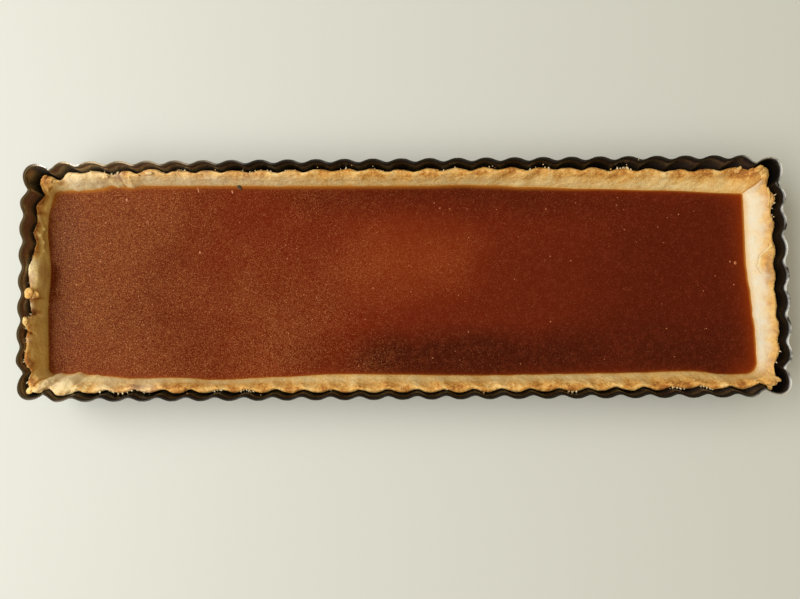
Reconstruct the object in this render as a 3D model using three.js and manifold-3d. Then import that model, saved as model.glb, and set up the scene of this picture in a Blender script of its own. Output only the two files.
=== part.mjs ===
// A long chocolate tart in its own fluted tin: dark steel tin, pastry shell, filling.
// Millimetres, +Z up, origin at the middle of the tin's underside, +X along the tart.
import * as THREE from 'three';
import { mergeVertices } from 'three/addons/utils/BufferGeometryUtils.js';
import Module from 'manifold-3d';

const wasm = await Module();
wasm.setup();

// --- the tin: outside sizes at the rim -------------------------------------------------------
const tinLength = 350;
const tinWidth = 110;
const tinHeight = 25;
const steel = 0.8;
const wallLean = 0.2;           // the walls lean out by this much for each millimetre of height
const lipWidth = 1.3;           // rim seen from above
const lipDepth = 1.2;           // how far down the thickened rim reaches
const lipDrop = 0.3;            // the rim's outer edge is this much lower than its inner edge

// --- its flutes ------------------------------------------------------------------------------
const flutesAlong = 25;         // between the corner knobs of a long side
const flutesAcross = 7;         // between the corner knobs of a short side
const flutePitchAlong = 13;
const flutePitchAcross = 12.07;
const fluteDepth = 1.6;
const fluteBroadness = 0.12;    // above 0 the flutes are broader than the valleys between them
const knobDip = 1.7;            // the valleys next to a corner knob are deeper by this much
const knobRadius = 5.3;
const knobInset = 6.3;          // from the rim's straight line to the middle of a knob

// --- the pastry shell ------------------------------------------------------------------------
const restGap = 0.35;           // between pieces that touch
const pastryFloor = 3.5;
const crestHeight = 21;         // mean height of the pastry's edge
const crestThickness = 3.6;
const crestShoulder = 1.4;      // rounding of the edge
const shrinkGap = 1.1;          // the baked edge has drawn back from the tin by this much
const crestFluteDepth = 1.15;   // the flutes pressed into the pastry fade towards its edge
const pastryKnobRadius = 3.1;
const pastryKnobInset = 5.4;
const crestRoughness = 0.4;     // uneven height of the edge
const outlineRoughness = 0.3;   // uneven outline of the edge
const closestGap = 0.85;        // nowhere closer to the tin at the edge than this
const crestShare = 0.55;        // the edge takes at most this share of the way to the filling
const crestInnerDrop = 0.5;     // the edge's inner side is this much lower than its top
const footSpread = 1.8;         // the inner face reaches this much further in at its foot
const crestWaves = [7, 19, 43, 71];       // unevenness, in waves round the whole loop
const outlineWaves = [11, 29, 59, 97];

// --- the filling -----------------------------------------------------------------------------
const fillingLevel = 13;
const meniscusRise = 0.3;
const meniscusWidth = 2.2;

// Distance of the filling's edge from the middle, at places along each side.
const fillingEdge = {
  right: [[-45, 164.4], [-20, 163.8], [2, 161.6], [40, 161.6]],
  back: [[-164, 43.8], [-100, 45.7], [0, 45.1], [60, 43.4], [120, 41.5], [160, 39.9]],
  left: [[-43, 166.8], [-10, 167.6], [3, 166.9], [28, 168.6], [43, 166.4]],
  front: [[-164, 43.2], [-146, 42.4], [-85, 45.7], [-30, 43.8], [40, 44.8], [120, 43.5], [155, 45.4]],
};
const cornerRadius = { rightBack: 0.9, leftBack: 3.6, leftFront: 3.2, rightFront: 5.6 };

// Where the pastry's edge stands higher or lower, further out or thicker than its mean.
// x, y: middle of the place; reachX, reachY: how far it spreads; the rest are millimetres added.
const swells = [
  { at: 'slumped stretch', x: -171, y: 33, reachX: 9, reachY: 15, lift: -3.6, out: -0.1, thick: -0.6 },
  { at: 'left back corner', x: -167, y: 49, reachX: 6, reachY: 5, lift: -1.2, out: -0.9, thick: 0 },
  { at: 'left middle fold', x: -170, y: 5, reachX: 5, reachY: 5.5, lift: 1.2, out: 0.4, thick: 1.6 },
  { at: 'upper notch', x: -171, y: -13.8, reachX: 5, reachY: 1.4, lift: -4.4, out: -0.3, thick: 0 },
  { at: 'flap', x: -171, y: -19.2, reachX: 5, reachY: 2.7, lift: 3.2, out: 0.7, thick: 1.2 },
  { at: 'lower notch', x: -171, y: -24.4, reachX: 4, reachY: 1.3, lift: -2.6, out: -0.6, thick: 0 },
  { at: 'left front band', x: -172, y: -36, reachX: 6, reachY: 9, lift: 2.2, out: 0.5, thick: 1.1 },
  { at: 'left front corner', x: -166, y: -50, reachX: 8, reachY: 6, lift: 2.9, out: 0.5, thick: 0.8 },
  { at: 'front pleat', x: -152, y: -51, reachX: 6, reachY: 5, lift: 1.6, out: 0.4, thick: 1.8 },
  { at: 'right front corner', x: 165, y: -50, reachX: 6, reachY: 5, lift: 2.9, out: 0.5, thick: 0.5 },
  { at: 'right back corner', x: 165, y: 49, reachX: 6, reachY: 6, lift: 3.1, out: 0.6, thick: 0.6 },
  { at: 'drawn in back stretch', x: 132, y: 50, reachX: 34, reachY: 9, lift: -0.8, out: -1.2, thick: 0 },
  { at: 'right flakes', x: 171, y: 36, reachX: 4, reachY: 4, lift: 1, out: 0.5, thick: 0.8 },
  { at: 'right blister', x: 170, y: 5, reachX: 5, reachY: 5, lift: -1.3, out: 0.3, thick: 0.9 },
];

// Crags that stand on the pastry's edge: middle, half sizes, and turn about the vertical.
const crags = [
  { x: -169.4, y: -4.7, z: 22.6, halfX: 1.9, halfY: 1.8, halfZ: 1.9, turn: 0 },
  { x: -168.9, y: -19.1, z: 23.6, halfX: 2.2, halfY: 2.4, halfZ: 1.1, turn: -0.3 },
  { x: -168.0, y: 4.4, z: 21.4, halfX: 2.6, halfY: 4.6, halfZ: 1.4, turn: 0.25 },
  { x: -166.9, y: -49.2, z: 23.7, halfX: 2.5, halfY: 1.5, halfZ: 1.0, turn: 0.5 },
  { x: -151.6, y: -49.6, z: 22.4, halfX: 4.6, halfY: 1.9, halfZ: 1.6, turn: 0.55 },
  { x: 160.6, y: -48.0, z: 22.7, halfX: 2.0, halfY: 1.2, halfZ: 1.3, turn: -0.7 },
  { x: 168.4, y: -46.9, z: 22.9, halfX: 2.0, halfY: 1.4, halfZ: 1.0, turn: 0.6 },
  { x: 163.4, y: 48.6, z: 24.0, halfX: 2.6, halfY: 1.5, halfZ: 1.0, turn: 0.55 },
  { x: 166.6, y: 45.7, z: 22.9, halfX: 1.5, halfY: 2.6, halfZ: 1.1, turn: 0.2 },
  { x: 155.4, y: 48.9, z: 21.5, halfX: 0.9, halfY: 1.7, halfZ: 2.1, turn: -0.35 },
  { x: -163.0, y: 47.2, z: 20.4, halfX: 1.7, halfY: 1.4, halfZ: 1.2, turn: 0.4 },
];

// --- how finely the solids are faceted -------------------------------------------------------
const stepsPerFlute = 6;
const stepsPerKnob = 12;
const fillingStepsPerFlute = 1;
const fillingStepsPerCorner = 6;
const cragFacets = [8, 5];
const weldDistance = 1e-3;
const sharpestCorner = 0.5;
const floorRingInset = 6;

const sides = [
  { edge: fillingEdge.right, sign: 1, half: tinLength / 2, flutes: flutesAcross, pitch: flutePitchAcross },
  { edge: fillingEdge.back, sign: -1, half: tinWidth / 2, flutes: flutesAlong, pitch: flutePitchAlong },
  { edge: fillingEdge.left, sign: -1, half: tinLength / 2, flutes: flutesAcross, pitch: flutePitchAcross },
  { edge: fillingEdge.front, sign: 1, half: tinWidth / 2, flutes: flutesAlong, pitch: flutePitchAlong },
];
const cornerRadii = [
  cornerRadius.rightBack, cornerRadius.leftBack, cornerRadius.leftFront, cornerRadius.rightFront,
];

// --- going round the loop --------------------------------------------------------------------

// Stations counterclockwise from the right side's front end: on a side with part -1..1 along it,
// or on the corner that follows that side with turn 0..1 round it.
function stationsRound(perFlute, perCorner) {
  const stations = [];
  for (let side = 0; side < 4; side++) {
    const steps = sides[side].flutes * perFlute;
    for (let i = 0; i < steps; i++) stations.push({ side, part: (2 * i) / steps - 1 });
    for (let i = 0; i < perCorner; i++) stations.push({ side, turn: i / perCorner });
  }
  return stations;
}

// A point given by its distance out from the middle and its place along a side.
function onSide(side, out, along) {
  const angle = (side * Math.PI) / 2;
  const outward = new THREE.Vector2(Math.cos(angle), Math.sin(angle)).multiplyScalar(out);
  return outward.add(new THREE.Vector2(-Math.sin(angle), Math.cos(angle)).multiplyScalar(along));
}

// A smooth line through [place, value] stops.
function eased(stops, at) {
  const last = stops.length - 1;
  if (at <= stops[0][0]) return stops[0][1];
  if (at >= stops[last][0]) return stops[last][1];
  const next = stops.findIndex(([place]) => place > at);
  const [placeA, valueA] = stops[next - 1];
  const [placeB, valueB] = stops[next];
  return THREE.MathUtils.lerp(valueA, valueB, THREE.MathUtils.smoothstep(at, placeA, placeB));
}

// How far the outline lies inside the line of its flutes' tops, counted in flutes from mid-side.
function fluteDrop(count, flutes, depth, dip) {
  const theta = 2 * Math.PI * count;
  const wave = 1 - fluteBroadness - Math.cos(theta) + fluteBroadness * Math.cos(2 * theta);
  const end = flutes / 2;
  return (depth / 2) * wave + dip * THREE.MathUtils.smoothstep(Math.abs(count), end - 0.5, end);
}

// The fluted outline. shape: inset from the rim's line, depth and dip of the flutes,
// radius and inset of the corner knobs. draft: how much smaller all of it is, 0 at the rim.
function flutedPoint(station, shape) {
  const { side } = station;
  const reach = (index) => sides[index % 4].half - shape.draft;
  const sidePoint = (index, part) => {
    const { flutes, pitch, half } = sides[index % 4];
    const count = (part * flutes) / 2;
    const along = (count * pitch * reach(index + 1)) / sides[(index + 1) % 4].half;
    const out = reach(index) - shape.inset - fluteDrop(count, flutes, shape.depth, shape.dip);
    return onSide(index, out, along);
  };
  if (station.part !== undefined) return sidePoint(side, station.part);
  const middle = onSide(side, reach(side) - shape.knobInset, reach(side + 1) - shape.knobInset);
  const from = sidePoint(side, 1).sub(middle);
  const to = sidePoint(side + 1, -1).sub(middle);
  const startAngle = from.angle();
  const sweep = (to.angle() - startAngle + 2 * Math.PI) % (2 * Math.PI);
  const angle = startAngle + sweep * station.turn;
  const neck = THREE.MathUtils.lerp(from.length(), to.length(), station.turn);
  const nearNeck = Math.abs(2 * station.turn - 1) ** 4;
  const radius = THREE.MathUtils.lerp(shape.knobRadius, neck, nearNeck);
  return middle.add(new THREE.Vector2(Math.cos(angle), Math.sin(angle)).multiplyScalar(radius));
}

// Distance of the filling's edge from the middle, at a place along a side.
function edgeOut(index, along) {
  const place = onSide(index, 0, along);
  return eased(sides[index % 4].edge, index % 2 === 0 ? place.y : place.x);
}

// The corner of the filling that follows a side, in that side's own out and along.
function fillingCorner(index, inset) {
  const out = edgeOut(index, sides[(index + 1) % 4].half) - inset;
  const along = edgeOut(index + 1, -sides[index % 4].half) - inset;
  return { out, along, radius: Math.max(cornerRadii[index % 4] - inset, sharpestCorner) };
}

// The filling's edge as an outline, drawn in by inset.
function fillingPoint({ side, part, turn }, inset) {
  const next = fillingCorner(side, inset);
  if (part === undefined) {
    const middle = onSide(side, next.out - next.radius, next.along - next.radius);
    const angle = ((side + turn) * Math.PI) / 2;
    return middle.add(new THREE.Vector2(Math.cos(angle), Math.sin(angle)).multiplyScalar(next.radius));
  }
  const before = fillingCorner(side + 3, inset);
  const low = before.radius - before.out;
  const high = next.along - next.radius;
  const along = THREE.MathUtils.lerp(low, high, (part + 1) / 2);
  return onSide(side, edgeOut(side, along) - inset, along);
}

// --- uneven pastry ---------------------------------------------------------------------------

// A gentle unevenness round the loop, between about -1 and 1, that closes on itself.
function unevenness(share, waves) {
  const total = waves.reduce((sum, count, i) => sum + Math.sin(2 * Math.PI * (share * count) + i * 2.4), 0);
  return total / waves.length;
}

// What the swells add at a place, for one of their measures.
function swelling(point, measure) {
  return swells.reduce((sum, swell) => {
    const dx = (point.x - swell.x) / swell.reachX;
    const dy = (point.y - swell.y) / swell.reachY;
    return sum + swell[measure] * Math.exp(-dx * dx - dy * dy);
  }, 0);
}

// The pastry's edge at a station: outer point, inner point and height.
function crestAt(station, share) {
  const wallShape = pastryShape(crestHeight, shrinkGap, crestFluteDepth);
  const rough = flutedPoint(station, wallShape);
  const height = crestHeight + swelling(rough, 'lift') + crestRoughness * unevenness(share, crestWaves);
  const out = swelling(rough, 'out') + outlineRoughness * unevenness(share, outlineWaves);
  const gap = Math.max(shrinkGap - out, closestGap);
  const outer = flutedPoint(station, pastryShape(height - crestShoulder, gap, crestFluteDepth));
  const inward = fillingPoint(station, 0).sub(outer);
  const width = inward.length();
  const thickness = Math.min(crestThickness + swelling(rough, 'thick'), width * crestShare);
  return { outer, height, inward: inward.divideScalar(width), thickness };
}

// --- building the solids ---------------------------------------------------------------------

// A lathe-turned stack of rings, each ring then led round its own outline. rings[0] and the last
// are single points in the middle of the underside and of the top.
function ringSolid(stations, rings) {
  const profile = rings.map((ring, j) => new THREE.Vector2(j === 0 || j === rings.length - 1 ? 0 : 1, j));
  const geometry = new THREE.LatheGeometry(profile, stations.length);
  const position = geometry.attributes.position;
  for (let i = 0; i <= stations.length; i++) {
    const index = i % stations.length;
    rings.forEach((ring, j) => {
      const { x, y, z } = ring(stations[index], index / stations.length);
      position.setXYZ(i * rings.length + j, x, y, z);
    });
  }
  return welded(geometry);
}

// Only the places of a geometry, with shared points joined and flattened triangles dropped.
function welded(geometry) {
  const bare = geometry.clone();
  bare.deleteAttribute('normal');
  bare.deleteAttribute('uv');
  const joined = mergeVertices(bare, weldDistance);
  const corners = Array.from(joined.index.array);
  const kept = [];
  for (let i = 0; i < corners.length; i += 3) {
    const [a, b, c] = corners.slice(i, i + 3);
    if (a !== b && b !== c && c !== a) kept.push(a, b, c);
  }
  joined.setIndex(kept);
  return joined;
}

function toSolid(geometry) {
  const vertProperties = new Float32Array(geometry.attributes.position.array);
  const triVerts = new Uint32Array(geometry.index.array);
  return new wasm.Manifold(new wasm.Mesh({ numProp: 3, vertProperties, triVerts }));
}

function toGeometry(solid) {
  const { vertProperties, triVerts } = solid.getMesh();
  const geometry = new THREE.BufferGeometry();
  geometry.setAttribute('position', new THREE.BufferAttribute(vertProperties, 3));
  geometry.setIndex(new THREE.BufferAttribute(triVerts, 1));
  geometry.computeVertexNormals();
  return geometry;
}

const raised = (point, z) => new THREE.Vector3(point.x, point.y, z);
const middleAt = (z) => () => new THREE.Vector3(0, 0, z);

// The tin's outline at a height; inward counts from its outer face.
function tinShape(height, inward) {
  const draft = wallLean * (tinHeight - height);
  return {
    draft, inset: inward, depth: fluteDepth, dip: knobDip,
    knobRadius: knobRadius - inward, knobInset,
  };
}

// The pastry's outer outline at a height, a gap away from the tin's inner face.
function pastryShape(height, gap, depth) {
  const draft = wallLean * (tinHeight - height);
  return {
    draft, inset: lipWidth + gap, depth, dip: knobDip,
    knobRadius: pastryKnobRadius, knobInset: pastryKnobInset + lipWidth + gap,
  };
}

// A plain ring that carries a flat floor in from its fluted edge.
const floorRing = (z) => (station) => raised(fillingPoint(station, floorRingInset), z);

function makeTin() {
  const fluted = (z, inward) => (station) => raised(flutedPoint(station, tinShape(z, inward)), z);
  const wallFace = lipWidth - steel;
  return ringSolid(stationsRound(stepsPerFlute, stepsPerKnob), [
    middleAt(0),
    floorRing(0),
    fluted(0, wallFace),
    fluted(tinHeight - lipDepth, wallFace),
    fluted(tinHeight - lipDrop, 0),
    fluted(tinHeight, lipWidth),
    fluted(steel, lipWidth),
    floorRing(steel),
    middleAt(steel),
  ]);
}

function makeCrag(crag) {
  const [around, tall] = cragFacets;
  const geometry = new THREE.SphereGeometry(1, around, tall);
  geometry.rotateX(Math.PI / 2);
  geometry.scale(crag.halfX, crag.halfY, crag.halfZ);
  geometry.rotateZ(crag.turn);
  geometry.translate(crag.x, crag.y, crag.z);
  return toSolid(welded(geometry));
}

function makeCrust() {
  const underside = steel + restGap;
  const crest = (inward, down) => (station, share) => {
    const edge = crestAt(station, share);
    const point = edge.outer.clone().addScaledVector(edge.inward, inward(edge));
    return raised(point, edge.height - down);
  };
  const shell = ringSolid(stationsRound(stepsPerFlute, stepsPerKnob), [
    middleAt(underside),
    floorRing(underside),
    (station) => raised(flutedPoint(station, pastryShape(underside, restGap, fluteDepth)), underside),
    crest(() => 0, crestShoulder),
    crest(() => crestShoulder, 0),
    crest((edge) => edge.thickness, crestInnerDrop),
    (station) => raised(fillingPoint(station, 0), fillingLevel),
    (station) => raised(fillingPoint(station, footSpread), underside + pastryFloor),
    middleAt(underside + pastryFloor),
  ]);
  return toGeometry(crags.reduce((whole, crag) => whole.add(makeCrag(crag)), toSolid(shell)));
}

function makeFilling() {
  const bottom = steel + pastryFloor + 2 * restGap;
  return ringSolid(stationsRound(fillingStepsPerFlute, fillingStepsPerCorner), [
    middleAt(bottom),
    (station) => raised(fillingPoint(station, footSpread + restGap), bottom),
    (station) => raised(fillingPoint(station, restGap), fillingLevel + meniscusRise),
    (station) => raised(fillingPoint(station, restGap + meniscusWidth), fillingLevel),
    middleAt(fillingLevel),
  ]);
}

// --- the tart --------------------------------------------------------------------------------
const darkSteel = new THREE.MeshStandardMaterial({ color: 0x2c2622, roughness: 0.35, metalness: 0.6 });
const bakedPastry = new THREE.MeshStandardMaterial({ color: 0xdcb671, roughness: 0.85, metalness: 0 });
const chocolate = new THREE.MeshStandardMaterial({ color: 0x6e2a14, roughness: 0.25, metalness: 0 });

const pieces = [
  ['tin', makeTin(), darkSteel],
  ['crust', makeCrust(), bakedPastry],
  ['filling', makeFilling(), chocolate],
];

const tart = new THREE.Group();
for (const [name, geometry, material] of pieces) {
  const mesh = new THREE.Mesh(geometry, material);
  mesh.name = name;
  tart.add(mesh);
}

export default tart;
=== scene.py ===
# A long chocolate tart in its own fluted tin, dressed for a close look from above.
# The loop of the tin, the pastry and the filling is worked out in millimetres and laid
# down in metres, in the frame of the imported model.
import math
import random

import bmesh
import bpy
from mathutils import Matrix, Vector, noise


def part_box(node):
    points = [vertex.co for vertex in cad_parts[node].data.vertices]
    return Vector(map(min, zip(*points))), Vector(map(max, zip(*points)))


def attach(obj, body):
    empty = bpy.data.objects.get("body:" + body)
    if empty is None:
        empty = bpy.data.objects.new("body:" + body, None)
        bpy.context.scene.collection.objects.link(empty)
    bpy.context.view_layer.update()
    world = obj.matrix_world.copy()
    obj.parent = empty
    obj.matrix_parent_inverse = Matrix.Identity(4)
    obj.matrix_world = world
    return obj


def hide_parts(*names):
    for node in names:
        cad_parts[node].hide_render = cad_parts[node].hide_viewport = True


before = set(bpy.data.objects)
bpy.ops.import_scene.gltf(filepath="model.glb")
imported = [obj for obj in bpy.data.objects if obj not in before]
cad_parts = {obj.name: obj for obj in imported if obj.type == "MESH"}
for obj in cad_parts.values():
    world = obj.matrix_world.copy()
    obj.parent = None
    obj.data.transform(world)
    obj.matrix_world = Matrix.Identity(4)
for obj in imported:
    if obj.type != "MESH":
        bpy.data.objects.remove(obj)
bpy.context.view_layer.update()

MM = 0.001

# ---------------------------------------------------------------- sizes, in millimetres

TIN_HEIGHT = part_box("tin")[1].z / MM
TIN_LENGTH = 350.0
TIN_WIDTH = 110.0
WALL_LEAN = 0.2
LIP_WIDTH = 1.3
STEEL = 0.8

FLUTE_DEPTH = 1.6
FLUTE_BROADNESS = 0.12
KNOB_DIP = 1.7
KNOB_RADIUS = 5.3
KNOB_INSET = 6.3

PASTRY_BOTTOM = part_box("crust")[0].z / MM
PASTRY_FLOOR = 3.5
CREST_HEIGHT = 21.0
CREST_THICKNESS = 2.9
SHRINK_GAP = 1.1
CLOSEST_GAP = 0.55
CREST_FLUTE_DEPTH = 1.2
FRONT_FLUTE_DEPTH = 1.5
PASTRY_KNOB_RADIUS = 3.1
PASTRY_KNOB_INSET = 5.4
FOOT_SPREAD = 1.8
ROUNDING = 1.4
USUAL_ROUNDING = 0.65

PASTRY_SHOULDER = 1.5      # from the crest down to where the outer face begins
FOOT_GAP = 0.35            # the pastry's foot, out of the filling and off the tin
PLATE_INSET = 6.0          # where the flat bottoms begin, in from the filling's edge

FILLING_LEVEL = 13.0
FILLING_RIM_DROP = 0.5     # how far below that level the filling's rim and the pastry's face end
SHARPEST_CORNER = 0.5

# how finely each piece is cut: stations to a flute, stations to a corner
TIN_STEPS = (20, 44)
PASTRY_STEPS = (26, 40)
FILLING_STEPS = (10, 18)

# distance of the filling's edge from the middle, at places along each side
FILLING_EDGE = {
    "right": [(-45, 165.3), (-25, 164.9), (-17, 164.0), (-8, 163.4), (0, 162.3), (8, 161.7),
              (40, 161.6)],
    "back": [(-164, 44.1), (-150, 44.4), (-144, 44.9), (-138, 46.3), (-130, 45.5), (-123, 46.3),
             (-90, 46.0), (-50, 45.4), (0, 45.2), (15, 45.1), (27, 45.5), (43, 44.8), (60, 43.8),
             (90, 42.6), (120, 41.6), (160, 39.8)],
    "left": [(-43, 166.8), (-10, 167.6), (3, 166.9), (28, 168.6), (43, 166.4)],
    "front": [(-164, 43.2), (-152, 43.1), (-140, 44.2), (-126, 45.5), (-109, 45.2), (-87, 46.4),
              (-60, 45.3), (-30, 44.1), (40, 45.2), (95, 44.6), (110, 44.5), (122, 44.0),
              (135, 43.9), (150, 45.6), (158, 45.6)],
}
CORNER_RADII = [0.9, 3.6, 3.2, 5.6]

# where the pastry's edge stands higher or lower, further out or thicker than its mean:
# middle x, y, reach x, y, then what it adds: lift, out, thick
SWELLS = [
    (-171, 33, 9, 15, -2.4, 0.5, -0.5),       # slumped stretch
    (-166, 49, 4, 3, 0.6, 0.5, 0),            # left back corner
    (-159, 49, 3.5, 4, -0.8, -1.6, -0.4),     # dip beside it
    (-168.5, 42, 4.5, 3.5, -0.7, -1.6, -0.3), # drawn in below the corner
    (-146, 50, 6, 5, 0.8, 0.3, 0.5),          # back left lumps
    (-135, 50, 3, 5, -0.8, -0.4, 0),
    (-117, 51, 6, 5, 1.3, 0.6, 0.4),
    (-170, 4.5, 5, 5, 2.2, 0.6, 2.5),         # left middle fold
    (-170.8, -5.6, 3.4, 2.7, 2.3, 0.9, 1.0),  # round blob
    (-171, -19.0, 5, 2.6, 3.2, 0.9, 2.4),     # flap
    (-172, -36, 6, 12, 2.0, 0.45, 0.8),       # left front band
    (-172, -27, 5, 6, 1.2, 0.4, 0.5),
    (-166, -50, 8, 6, 2.9, 0.5, 0.8),         # left front corner
    (-152, -51, 6, 5, 1.6, 0.4, 1.8),         # front pleat
    (20, -51, 75, 9, 0.4, 0.9, 0.2),          # front middle stretch
    (165, -50, 6, 5, 2.9, 0.5, 0.5),          # right front corner
    (165, 49, 6, 6, 3.1, 0.6, 0.6),           # right back corner
    (132, 50, 34, 9, -0.8, -1.2, 0),          # drawn in back stretch
    (171, 36, 4, 4, 1, 0.5, 0.8),             # right flakes
    (172, 14, 6, 8, 0.0, 1.3, 0.9),           # right blister
    (172, -24, 6, 10, 0.5, 0.8, 0.3),         # right front stretch
]

SIDES = [
    {"edge": FILLING_EDGE["right"], "half": TIN_LENGTH / 2, "flutes": 7, "pitch": 12.07},
    {"edge": FILLING_EDGE["back"], "half": TIN_WIDTH / 2, "flutes": 25, "pitch": 13.0},
    {"edge": FILLING_EDGE["left"], "half": TIN_LENGTH / 2, "flutes": 7, "pitch": 12.07},
    {"edge": FILLING_EDGE["front"], "half": TIN_WIDTH / 2, "flutes": 25, "pitch": 13.0},
]

# ---------------------------------------------------------------- going round the loop


def stations_round(per_flute, per_corner):
    """Stations counterclockwise: (side, part -1..1 along it) or (side, None, turn 0..1)."""
    stations = []
    for side in range(4):
        steps = SIDES[side]["flutes"] * per_flute
        stations += [(side, 2 * i / steps - 1, None) for i in range(steps)]
        stations += [(side, None, i / per_corner) for i in range(per_corner)]
    return stations


def lerp(a, b, t):
    return a + (b - a) * t


def smoothstep(value, low, high):
    t = min(1.0, max(0.0, (value - low) / (high - low)))
    return t * t * (3 - 2 * t)


def on_side(side, out, along):
    cosine, sine = ((1, 0), (0, 1), (-1, 0), (0, -1))[side % 4]
    return Vector((cosine * out - sine * along, sine * out + cosine * along))


def eased(stops, at):
    if at <= stops[0][0]:
        return stops[0][1]
    for (place_a, value_a), (place_b, value_b) in zip(stops, stops[1:]):
        if at < place_b:
            return lerp(value_a, value_b, smoothstep(at, place_a, place_b))
    return stops[-1][1]


def flute_drop(count, flutes, depth, dip):
    theta = 2 * math.pi * count
    wave = 1 - FLUTE_BROADNESS - math.cos(theta) + FLUTE_BROADNESS * math.cos(2 * theta)
    end = flutes / 2
    return depth / 2 * wave + dip * smoothstep(abs(count), end - 0.5, end)


def fluted_point(station, draft, inset, depth, knob_radius, knob_inset):
    """A point of the fluted outline, drawn in by draft and inset."""
    side, part, turn = station

    def reach(index):
        return SIDES[index % 4]["half"] - draft

    def side_point(index, along_part):
        own, following = SIDES[index % 4], SIDES[(index + 1) % 4]
        count = along_part * own["flutes"] / 2
        along = count * own["pitch"] * reach(index + 1) / following["half"]
        drop = flute_drop(count, own["flutes"], depth, KNOB_DIP)
        return on_side(index, reach(index) - inset - drop, along)

    if part is not None:
        return side_point(side, part)
    middle = on_side(side, reach(side) - knob_inset, reach(side + 1) - knob_inset)
    start = side_point(side, 1) - middle
    end = side_point(side + 1, -1) - middle
    start_angle = math.atan2(start.y, start.x)
    sweep = (math.atan2(end.y, end.x) - start_angle) % (2 * math.pi)
    angle = start_angle + sweep * turn
    neck = lerp(start.length, end.length, turn)
    radius = lerp(knob_radius, neck, abs(2 * turn - 1) ** 4)
    return middle + Vector((math.cos(angle), math.sin(angle))) * radius


def edge_out(index, along):
    place = on_side(index, 0, along)
    return eased(SIDES[index % 4]["edge"], place.y if index % 2 == 0 else place.x)


def filling_corner(index, inset):
    out = edge_out(index, SIDES[(index + 1) % 4]["half"]) - inset
    along = edge_out(index + 1, -SIDES[index % 4]["half"]) - inset
    return out, along, max(CORNER_RADII[index % 4] - inset, SHARPEST_CORNER)


def filling_point(station, inset):
    """A point of the filling's edge, drawn in by inset."""
    side, part, turn = station
    out, along_end, radius = filling_corner(side, inset)
    if part is None:
        middle = on_side(side, out - radius, along_end - radius)
        angle = (side + turn) * math.pi / 2
        return middle + Vector((math.cos(angle), math.sin(angle))) * radius
    out_before, _, radius_before = filling_corner(side + 3, inset)
    along = lerp(radius_before - out_before, along_end - radius, (part + 1) / 2)
    return on_side(side, edge_out(side, along) - inset, along)


def swelling(point, measure):
    total = 0.0
    for swell in SWELLS:
        dx = (point.x - swell[0]) / swell[2]
        dy = (point.y - swell[1]) / swell[3]
        reach = dx * dx + dy * dy
        if reach < 12:
            total += swell[4 + measure] * math.exp(-reach)
    return total


def rough(point, size, seed):
    """Smooth seeded noise, about -1 to 1, with features about size millimetres across."""
    return noise.noise(point / size + Vector((seed * 17.3, seed * 5.1, seed * 9.7)))


# ---------------------------------------------------------------- making a wrapped skin


def wrapped_skin(name, stations, rings, shades=None):
    """A closed skin: a grid bent round the loop, one row to each ring, welded at its seam.

    Shades gives the name of each shade layer and what works it out at a station and a ring.
    """
    bm = bmesh.new()
    around, rows = len(stations), len(rings) - 1
    bmesh.ops.create_grid(bm, x_segments=around, y_segments=rows, size=1)
    shades = shades or {}
    for name_of_layer in shades:
        bm.verts.layers.float.new(name_of_layer)
    layers = [(bm.verts.layers.float[key], shade) for key, shade in shades.items()]
    for vert in bm.verts:
        i = round((vert.co.x + 1) / 2 * around) % around
        j = round((vert.co.y + 1) / 2 * rows)
        point = rings[j](i)
        vert.co = point * MM
        for layer, shade in layers:
            vert[layer] = shade(i, j, point)
    bmesh.ops.remove_doubles(bm, verts=bm.verts, dist=1e-7)
    bmesh.ops.recalc_face_normals(bm, faces=bm.faces)
    return to_object(bm, name)


def to_object(bm, name):
    for face in bm.faces:
        face.smooth = True
    mesh = bpy.data.meshes.new(name)
    bm.to_mesh(mesh)
    bm.free()
    piece = bpy.data.objects.new(name, mesh)
    bpy.context.scene.collection.objects.link(piece)
    return piece


def raised(point, z):
    return Vector((point.x, point.y, z))


def pole(z):
    return lambda i: Vector((0, 0, z))


def inner_plate(stations, z, inset):
    return lambda i: raised(filling_point(stations[i], inset), z)


# ---------------------------------------------------------------- the tin


def make_tin():
    stations = stations_round(*TIN_STEPS)
    face = LIP_WIDTH - STEEL

    def fluted(z, inward):
        def ring(i):
            draft = WALL_LEAN * (TIN_HEIGHT - z)
            point = fluted_point(stations[i], draft, inward, FLUTE_DEPTH,
                                 KNOB_RADIUS - inward, KNOB_INSET)
            return raised(point, z)
        return ring

    top = TIN_HEIGHT
    outside_profile = [(0, face + 1.2), (0.12, face + 0.55), (0.45, face + 0.12), (1.1, face),
                       (8, face), (15, face), (top - 3, face), (top - 1.8, face - 0.06),
                       (top - 1.0, face - 0.25), (top - 0.55, 0.04), (top - 0.3, 0.0)]
    rim = [(top - 0.1, 0.02), (top, 0.11), (top - 0.07, 0.3), (top - 0.17, 0.52),
           (top - 0.3, 0.74)]
    inside = [(top - 0.46, 0.94), (top - 0.72, 1.1), (top - 1.2, 1.22), (top - 2.0, 1.28),
              (top - 3.2, LIP_WIDTH),
              (15, LIP_WIDTH), (8, LIP_WIDTH), (2.2, LIP_WIDTH), (1.2, LIP_WIDTH + 0.25),
              (STEEL, LIP_WIDTH + 1.1)]
    rings = [pole(0), inner_plate(stations, 0, PLATE_INSET)]
    profile = outside_profile + rim + inside
    rings += [fluted(z, inward) for z, inward in profile]
    rings += [inner_plate(stations, STEEL, PLATE_INSET), pole(STEEL)]

    def bead(i, j, point):
        z, inward = profile[min(max(j - 2, 0), len(profile) - 1)]
        return smoothstep(z, top - 1.2, top - 0.5) * (1 - smoothstep(inward, 0.3, 0.94))

    def outside(i, j, point):
        return 1.0 if j < 2 + len(outside_profile) else 0.0

    return wrapped_skin("fluted_tin", stations, rings, {"bead": bead, "outside": outside})


# ---------------------------------------------------------------- the pastry

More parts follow.
